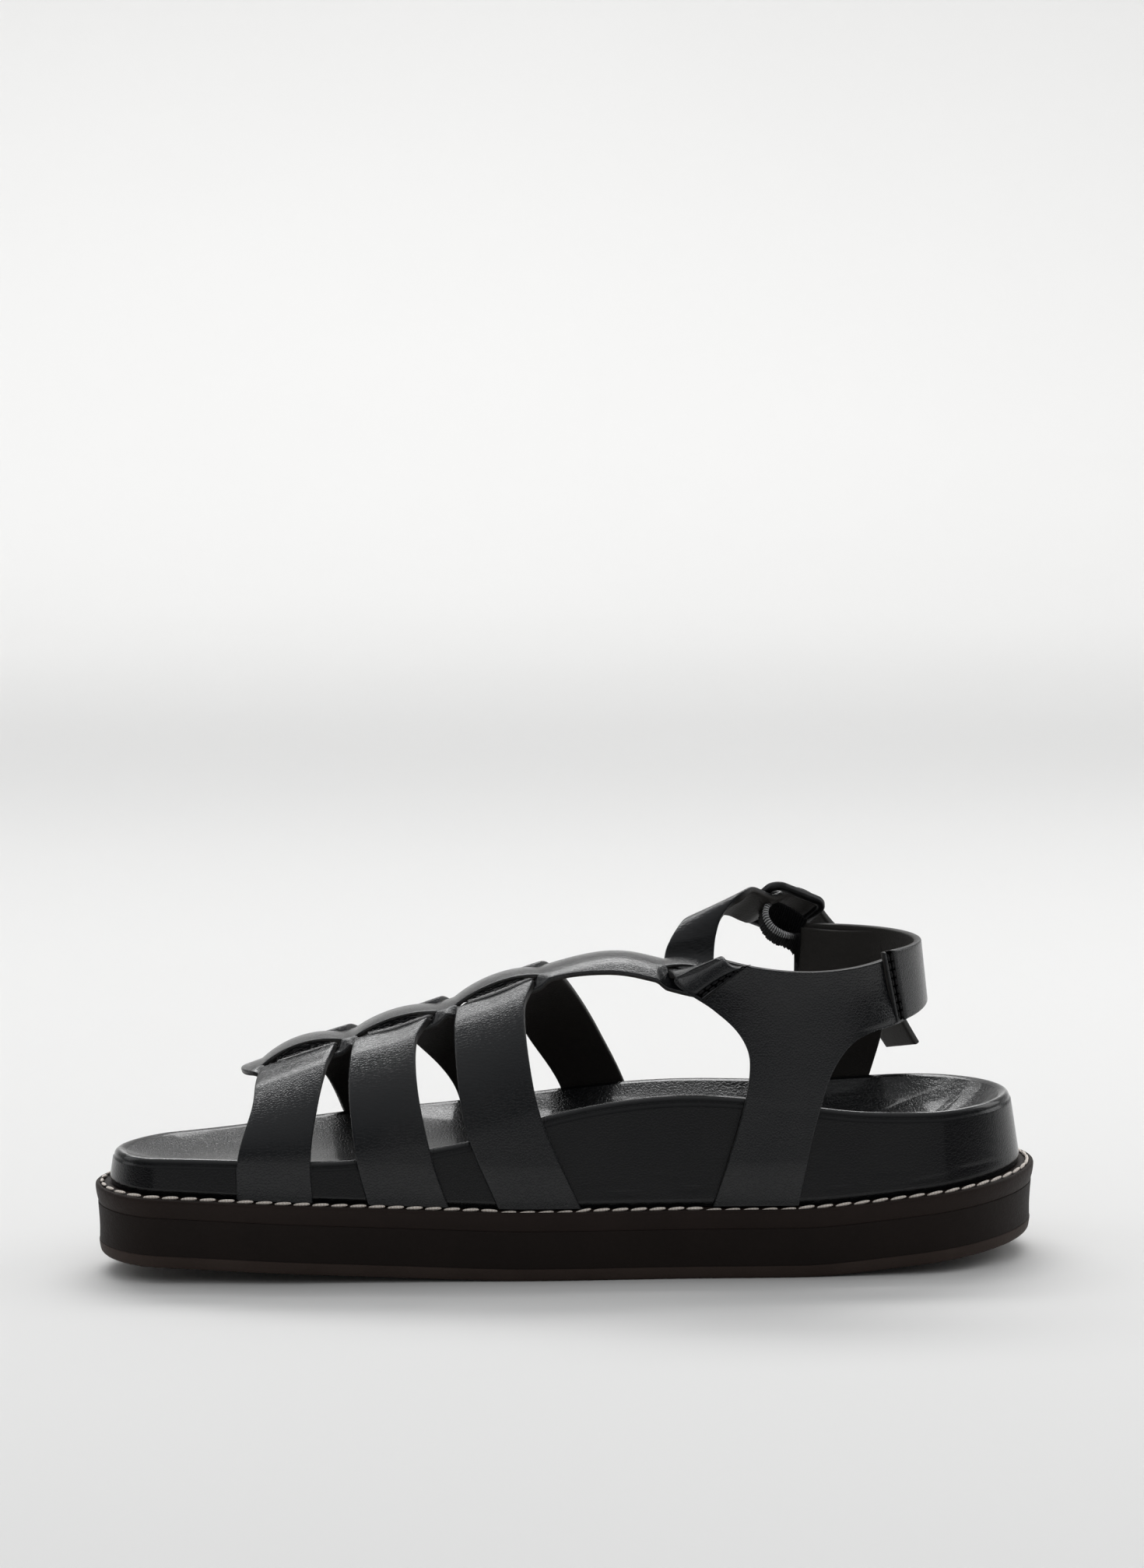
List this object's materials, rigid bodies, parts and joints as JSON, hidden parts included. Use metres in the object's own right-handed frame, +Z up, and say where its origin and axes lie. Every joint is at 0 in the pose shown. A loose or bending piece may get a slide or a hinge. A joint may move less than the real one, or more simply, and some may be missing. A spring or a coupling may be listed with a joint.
{
  "type": "gladiator sandal",
  "caption": "Black leather gladiator sandal for the right foot: woven cross straps on a centre strip, buckled ankle strap, moulded footbed and thick layered sole.",
  "frame": {"origin": "centre of the bounding box at floor level, under the sole", "axes": "+X from toe to heel along the foot, -Y to the inner (medial) side, +Z up"},
  "size_m": [0.272, 0.0892, 0.1049],
  "materials": {
    "outsole_rubber": "matt dark brown rubber with a fine tread",
    "midsole_rubber": "matt dark brown foam rubber",
    "welt_rubber": "satin brown rubber with pale stitches",
    "footbed_wrap": "glossy black wrapped leather",
    "insole_leather": "grained black leather",
    "strap_leather": "smooth semi-gloss black leather",
    "elastic_web": "ribbed black elastic webbing",
    "buckle_metal": "gloss black metal"
  },
  "bodies": {
    "root": {"outsole": "outsole_rubber", "midsole": "midsole_rubber", "welt": "welt_rubber", "footbed": "footbed_wrap", "insole": "insole_leather", "upper": "strap_leather", "elastic": "elastic_web", "buckle_frame": "buckle_metal", "buckle_prong": "buckle_metal"}
  },
  "joints": []
}
